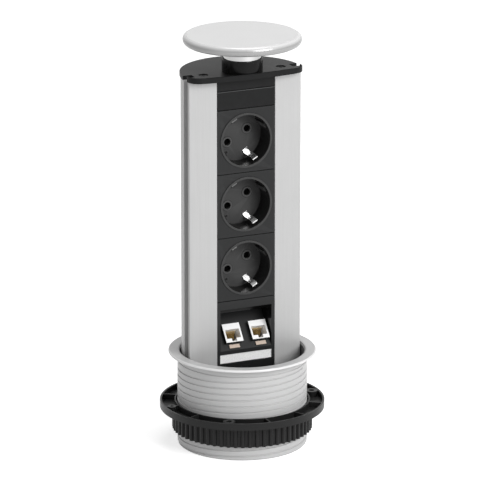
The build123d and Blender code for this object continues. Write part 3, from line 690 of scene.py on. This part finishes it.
def spring_steel():
    return finish("spring_steel", colours().steel, rough=0.3, metal=1.0, scale=2500,
                  spread=0.08, bump=0.004)


def nickel_plate():
    return finish("nickel_plate", colours().nickel, rough=0.2, metal=1.0, scale=2500,
                  spread=0.05, bump=0.003)


# Nickel darkened for the earth strips' upper ends: painted shade
def shaded_nickel():
    return finish("shaded_nickel", colours().nickel_shade, rough=0.45, metal=1.0, scale=2500,
                  spread=0.08, bump=0.004)


def contact_brass():
    return finish("contact_brass", colours().brass, rough=0.3, metal=1.0, scale=2000,
                  spread=0.1, cloud=0.08, bump=0.004)


def gold_wire():
    return finish("gold_wire", colours().gold, rough=0.25, metal=0.9, scale=2000, spread=0.1,
                  bump=0.003)


def black_screw():
    return finish("black_screw", colours().screw, rough=0.4, metal=0.3, scale=2500,
                  spread=0.1, bump=0.005, wear=0.5, shine=0.25)


# Near black with no gloss, as painted shade in the pin holes
def shutter_grey():
    return finish("shutter_grey", colours().shutter, rough=0.5, scale=2000, spread=0.08,
                  bump=0.01, shine=0.0)


def inner_grey():
    return finish("inner_grey", colours().inner, rough=0.5, scale=2000, spread=0.08, bump=0.01)


def jack_white():
    return finish("jack_white", colours().jack, rough=0.3, scale=1800, spread=0.02,
                  cloud=0.02, bump=0.004)


def latch_beige():
    return finish("latch_beige", colours().latch, rough=0.35, scale=1800, spread=0.04,
                  bump=0.004)


def label_card():
    return finish("label_card", colours().card, rough=0.5, scale=900, spread=0.02,
                  cloud=0.03, bump=0.004)


def label_window():
    """Clear plastic film with faint scratches in its gloss."""
    material = finish("label_window", colours().window, rough=0.08, scale=1500, spread=0.02,
                      rough_spread=0.5, bump=0.0)
    shader = material.node_tree.nodes["Principled BSDF"]
    shader.inputs["Alpha"].default_value = WINDOW_ALPHA
    return material


def carrier_black():
    return finish("carrier_black", colours().recess, rough=0.5, scale=1800, spread=0.1,
                  bump=0.006)


# Mesh helpers
def from_node(node):
    """A merged copy of a CAD node's mesh, with flat stretches joined into whole faces."""
    bm = bmesh.new()
    bm.from_mesh(frame["nodes"][node].data)
    bmesh.ops.remove_doubles(bm, verts=bm.verts, dist=WELD)
    bmesh.ops.dissolve_limit(bm, angle_limit=FLAT_ANGLE, verts=bm.verts, edges=bm.edges)
    return bm


def soften(bm, width, angle=SHARP_ANGLE):
    """Rounds every edge sharper than the angle."""
    sharp = [e for e in bm.edges if len(e.link_faces) == 2 and e.calc_face_angle() > angle]
    bmesh.ops.bevel(bm, geom=sharp, offset=width, offset_type="OFFSET", affect="EDGES",
                    segments=detail().edge_steps, profile=0.5, material=-1, clamp_overlap=True,
                    loop_slide=True)
    return bm


def piece(name, bm, body, materials, nodes=(), choose=None):
    """Makes a mesh object that rides on a body and stands for CAD nodes.

    choose gives the number of a face's finish from the middle of the face.
    """
    mesh = bpy.data.meshes.new(name)
    bm.normal_update()
    if choose:
        for face in bm.faces:
            face.material_index = choose(face.calc_center_median() / MM)
    bm.to_mesh(mesh)
    bm.free()
    for material in materials:
        mesh.materials.append(material)
    mesh.polygons.foreach_set("use_smooth", [True] * len(mesh.polygons))
    mesh.set_sharp_from_angle(angle=SHARP_ANGLE)
    made = bpy.data.objects.new(name, mesh)
    bpy.context.scene.collection.objects.link(made)
    flow = made.modifiers.new("edge flow", "WEIGHTED_NORMAL")
    flow.keep_sharp = True
    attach(made, body)
    if nodes:
        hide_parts(*nodes)
    return made


def mount_of(name):
    """A mount's row in the record."""
    return next(row for row in frame["record"]["mounts"] if row["name"] == name)


def joint_of(name):
    """A joint's row in the record."""
    rows = frame["record"]["behaviour"]["joints"]
    return next(row for row in rows if row["name"] == name)


def body_of_node(node):
    """The CAD body that carries a node."""
    groups = frame["record"]["behaviour"]["bodies"]
    return next(body for body, members in groups.items() if node in members)


def paint_node(node, material):
    """Gives a CAD node's own object a finish and lets it stand as it is."""
    target = frame["nodes"][node]
    target.data.materials.clear()
    target.data.materials.append(material)


def softened_piece(node, materials, width, choose=None, angle=SHARP_ANGLE):
    """A copy of a CAD node with rounded edges, standing for that node."""
    if isinstance(materials, bpy.types.Material):
        materials = [materials]
    bm = soften(from_node(node), width, angle)
    return piece(node + "_dressed", bm, body_of_node(node), materials,
                 (node,), choose)


# One operator for each piece or group of like pieces
class DESKSOCKET_OT_sleeve(bpy.types.Operator):
    """Dress the threaded sleeve and its collar"""

    bl_idname = "desk_socket.sleeve"
    bl_label = "Sleeve and Collar"

    def execute(self, context):
        paint_node("threaded_sleeve", sleeve_paint())
        return {"FINISHED"}


class DESKSOCKET_OT_liner(bpy.types.Operator):
    """Dress the guide liner and the brake felts"""

    bl_idname = "desk_socket.liner"
    bl_label = "Liner and Felts"

    def execute(self, context):
        paint_node("guide_liner", liner_grey())
        for side in ("left", "right"):
            paint_node("brake_felt_" + side, brake_felt())
        return {"FINISHED"}


class DESKSOCKET_OT_clamp(bpy.types.Operator):
    """Dress the clamp ring and the grip nut"""

    bl_idname = "desk_socket.clamp"
    bl_label = "Clamp Ring and Nut"

    def execute(self, context):
        softened_piece("clamp_flange", clamp_black(), detail().edge_medium)
        softened_piece("grip_nut", clamp_black(), detail().edge_small)
        return {"FINISHED"}


class DESKSOCKET_OT_column(bpy.types.Operator):
    """Dress the column's extrusion and its lower end"""

    bl_idname = "desk_socket.column"
    bl_label = "Column"

    def execute(self, context):
        paint_node("column_profile", anodised_aluminium())
        softened_piece("base_plate", moulded_black(), detail().edge_medium)
        softened_piece("cable_gland", clamp_black(), detail().edge_medium)
        softened_piece("base_plate_screws", black_screw(), detail().edge_small)
        return {"FINISHED"}


class DESKSOCKET_OT_top(bpy.types.Operator):
    """Dress the top plate, its screws and the neck"""

    bl_idname = "desk_socket.top"
    bl_label = "Top Plate and Neck"

    def execute(self, context):
        softened_piece("top_plate", cover_black(), detail().edge_medium, angle=CORNER_ANGLE)
        softened_piece("top_plate_screws", black_screw(), detail().edge_small)
        softened_piece("neck", gloss_black(), detail().edge_medium)
        return {"FINISHED"}


class DESKSOCKET_OT_cap(bpy.types.Operator):
    """Dress the cap, its boss and the push works below it"""

    bl_idname = "desk_socket.cap"
    bl_label = "Cap"

    def execute(self, context):
        paint_node("cap_disc", blasted_aluminium())
        softened_piece("cap_boss", bright_chrome(), detail().edge_medium)
        softened_piece("cap_plunger", inner_grey(), detail().edge_small)
        softened_piece("cap_screw", black_screw(), detail().edge_small)
        self.return_spring()
        softened_piece("latch_case", inner_grey(), detail().edge_medium)
        return {"FINISHED"}

    def return_spring(self):
        """A copy of the return spring with a mesh of its own, with its foot on the plate."""
        bm = from_node("cap_spring")
        travel = max(abs(end) for end in joint_of("cap_press")["range_m"])
        spring = piece("cap_spring_dressed", bm, body_of_node("cap_spring"),
                       [spring_steel()], ("cap_spring",))
        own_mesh(spring)


class DESKSOCKET_OT_covers(bpy.types.Operator):
    """Dress the blank covers of the front"""

    bl_idname = "desk_socket.covers"
    bl_label = "Blank Covers"

    def execute(self, context):
        for node in ("header_strip", "blank_cover", "lower_cover"):
            softened_piece(node, cover_black(), detail().edge_small)
        return {"FINISHED"}


class DESKSOCKET_OT_sockets(bpy.types.Operator):
    """Dress the mains sockets with their contacts and shutters"""

    bl_idname = "desk_socket.sockets"
    bl_label = "Mains Sockets"

    def execute(self, context):
        for tag in "123":
            softened_piece("socket_face_" + tag,
                           [moulded_black(), recess_black(), shaded_recess_wall(), highlit_ring_black()],
                           detail().edge_small, self.face_zone(tag))
            softened_piece("earth_clip_" + tag, [nickel_plate(), shaded_nickel()],
                           detail().edge_small, self.upper_end(tag))
            softened_piece("shutter_" + tag, shutter_grey(), detail().edge_small)
            softened_piece("socket_housing_" + tag, inner_grey(), detail().edge_medium)
            for kind in ("contact_neutral_", "contact_live_"):
                softened_piece(kind + tag, contact_brass(), detail().edge_small)
            softened_piece("shutter_spring_" + tag, spring_steel(), detail().edge_small)
        return {"FINISHED"}

    def face_zone(self, tag):
        """Numbers the front 0, the recess floor 1, its wall 2 and the ring's crest 3. The wall
        gets painted shade and the crest a painted highlight.
        """
        front = Vector(mount_of("mains_socket_" + tag)["pos_m"]) / MM

        def choose(middle):
            reach = math.hypot(middle.x - front.x, middle.z - front.z)
            if middle.y < front.y - RING_DEPTH:
                return 3 * int(reach < RING_R)
            if middle.y < front.y + FRONT_DEPTH:
                return 0
            if reach < RECESS_R - WALL_REACH:
                return 1
            return 2 * int(reach < RECESS_R)
        return choose

    def upper_end(self, tag):
        """Tells the upper end of an earth strip, which gets nickel in painted shade, from the
        rest.
        """
        height = mount_of("mains_socket_" + tag)["pos_m"][2] / MM
        return lambda middle: int(middle.z > height)


class DESKSOCKET_OT_data(bpy.types.Operator):
    """Dress the data module with its jacks and label"""

    bl_idname = "desk_socket.data"
    bl_label = "Data Module"

    def execute(self, context):
        softened_piece("data_frame", [moulded_black(), hollow_shade_black()], detail().edge_small,
                       self.inside_frame())
        for side in ("left", "right"):
            softened_piece("jack_shell_" + side, jack_white(), detail().edge_medium)
            softened_piece("jack_contacts_" + side, [gold_wire(), carrier_black()],
                           detail().edge_small, self.in_carrier(side))
            softened_piece("jack_latch_" + side, latch_beige(), detail().edge_small)
        softened_piece("label_strip", label_card(), detail().edge_small)
        self.window_over_label()
        return {"FINISHED"}

    def window_over_label(self):
        """The label's clear window, with a little air between it and the card."""
        window = soften(from_node("label_cover"), detail().edge_small)
        middle = sum(v.co.y for v in window.verts) / len(window.verts)
        back = [v for v in window.verts if v.co.y > middle]
        bmesh.ops.translate(window, verts=back, vec=(0, -WINDOW_AIR * MM, 0))
        piece("label_cover_dressed", window, body_of_node("label_cover"),
              [label_window()], ("label_cover",))

    def inside_frame(self):
        """Tells the hollow of the frame, which gets painted shade, from its front."""
        front = mount_of("mains_socket_1")["pos_m"][1] / MM + FRAME_HOLLOW
        return lambda middle: int(middle.y > front and middle.z > HOLLOW_FOOT)

    def in_carrier(self, side):
        """Tells the carrier at the end of a jack's mouth from the wires on it."""
        mount = mount_of("network_jack_" + side)
        face = Vector(mount["pos_m"]) / MM
        out = Vector(mount["axis"]).normalized()
        return lambda middle: int((middle - face).dot(out) < CARRIER_FRONT)


class DESKSOCKET_OT_power(bpy.types.Operator):
    """Dress the busbars and the terminal block"""

    bl_idname = "desk_socket.power"
    bl_label = "Busbars and Terminals"

    def execute(self, context):
        for kind in ("neutral", "earth", "live"):
            softened_piece("busbar_" + kind, contact_brass(), detail().edge_small)
        softened_piece("terminal_block", inner_grey(), detail().edge_medium)
        softened_piece("terminal_screws", spring_steel(), detail().edge_small)
        return {"FINISHED"}


# Studio
def backdrop_seen(tree):
    """1 to the camera, in reflections and through clear pieces, and 0 as a light."""
    path = tree.nodes.new("ShaderNodeLightPath")
    seen = math_node(tree, "MAXIMUM", path.outputs["Is Camera Ray"],
                     path.outputs["Is Transmission Ray"])
    return math_node(tree, "MAXIMUM", seen, path.outputs["Is Glossy Ray"])


def floor_material():
    """White floor that keeps the object's shadow and is plain white where it is seen."""
    material = finish("studio_floor", colours().floor, rough=0.9, scale=60, spread=0.01,
                      cloud=0.005, rough_spread=0.02, bump=0.0, shine=0.0)
    tree = material.node_tree
    shader = tree.nodes["Principled BSDF"]
    glow = math_node(tree, "MULTIPLY", backdrop_seen(tree), FLOOR_GLOW)
    tree.links.new(glow, shader.inputs["Emission Strength"])
    shader.inputs["Emission Color"].default_value = WHITE
    return material


def studio_world(sky):
    """White where it is seen, softer as a light."""
    world = bpy.data.worlds.new("studio_world")
    bpy.context.scene.world = world
    world.use_nodes = True
    tree = world.node_tree
    shader = tree.nodes["Background"]
    shader.inputs["Color"].default_value = WHITE
    strength = math_node(tree, "MULTIPLY_ADD", backdrop_seen(tree), 1.0 - sky, sky)
    tree.links.new(strength, shader.inputs["Strength"])


def soft_box(name, aim, place, width, height, power):
    """An area lamp of a width and height in metres that looks at a point."""
    lamp = bpy.data.lights.new(name, "AREA")
    lamp.shape = "RECTANGLE"
    lamp.size = width
    lamp.size_y = height
    lamp.energy = power
    made = bpy.data.objects.new(name, lamp)
    bpy.context.scene.collection.objects.link(made)
    made.location = place
    made.rotation_euler = (Vector(aim) - Vector(place)).to_track_quat("-Z", "Y").to_euler()
    return made


class DESKSOCKET_OT_stage(bpy.types.Operator):
    """Set up the floor, the soft light and the camera"""

    bl_idname = "desk_socket.stage"
    bl_label = "Studio"

    def execute(self, context):
        stage = context.scene.desk_socket_stage
        context.scene.view_settings.view_transform = "Standard"
        bm = bmesh.new()
        bmesh.ops.create_circle(bm, cap_ends=True, segments=FLOOR_SIDES, radius=FLOOR_REACH)
        mesh = bpy.data.meshes.new("studio_floor")
        bm.to_mesh(mesh)
        bm.free()
        mesh.materials.append(floor_material())
        floor = bpy.data.objects.new("studio_floor", mesh)
        context.scene.collection.objects.link(floor)
        studio_world(stage.sky)
        middle = (0, 0, stage.aim)
        soft_box("key_box", middle, *KEY_BOX, stage.key)
        soft_box("top_box", middle, *TOP_BOX, stage.top)
        soft_box("fill_box", middle, *FILL_BOX, stage.fill)
        self.place_camera(context, stage)
        return {"FINISHED"}

    def place_camera(self, context, stage):
        """A camera that looks at the column as the photograph's does."""
        turn = stage.azimuth
        data = bpy.data.cameras.new("photo_camera")
        camera = bpy.data.objects.new("photo_camera", data)
        context.scene.collection.objects.link(camera)
        context.scene.camera = camera
        side = Vector((math.cos(turn), math.sin(turn), 0)) * stage.aim_side
        aim = Vector((0, 0, stage.aim)) + side
        camera.location = Vector((math.sin(turn), -math.cos(turn), 0)) * stage.reach
        camera.location += Vector((0, 0, stage.height)) + side
        gaze = aim - camera.location
        camera.rotation_euler = gaze.to_track_quat("-Z", "Y").to_euler()
        data.sensor_width = SENSOR
        data.lens = stage.scale / MM * gaze.length / VIEW_PIXELS * SENSOR
        data.clip_end = FAR_CLIP
        data.dof.use_dof = False


OPERATORS = (
    DESKSOCKET_OT_sleeve, DESKSOCKET_OT_liner, DESKSOCKET_OT_clamp, DESKSOCKET_OT_column,
    DESKSOCKET_OT_top, DESKSOCKET_OT_cap, DESKSOCKET_OT_covers, DESKSOCKET_OT_sockets,
    DESKSOCKET_OT_data, DESKSOCKET_OT_power, DESKSOCKET_OT_stage,
)


class DESKSOCKET_PT_pieces(bpy.types.Panel):
    """Lists the pieces of the desk socket"""

    bl_label = "Desk Socket"
    bl_idname = "DESKSOCKET_PT_pieces"
    bl_space_type = "VIEW_3D"
    bl_region_type = "UI"
    bl_category = "Desk Socket"

    def draw(self, context):
        column = self.layout.column(align=True)
        for operator in OPERATORS:
            column.operator(operator.bl_idname)


SETTING_GROUPS = {
    "desk_socket_colours": SocketColours,
    "desk_socket_detail": SocketDetail,
    "desk_socket_stage": SocketStage,
}


def register():
    for name, group in SETTING_GROUPS.items():
        bpy.utils.register_class(group)
        setattr(bpy.types.Scene, name, PointerProperty(type=group))
    for operator in OPERATORS:
        bpy.utils.register_class(operator)
    bpy.utils.register_class(DESKSOCKET_PT_pieces)


def unregister():
    bpy.utils.unregister_class(DESKSOCKET_PT_pieces)
    for operator in reversed(OPERATORS):
        bpy.utils.unregister_class(operator)
    for name, group in SETTING_GROUPS.items():
        delattr(bpy.types.Scene, name)
        bpy.utils.unregister_class(group)


def main():
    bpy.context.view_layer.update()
    register()
    for operator in OPERATORS:
        group, name = operator.bl_idname.split(".")
        getattr(getattr(bpy.ops, group), name)()


if __name__ == "__main__":
    main()
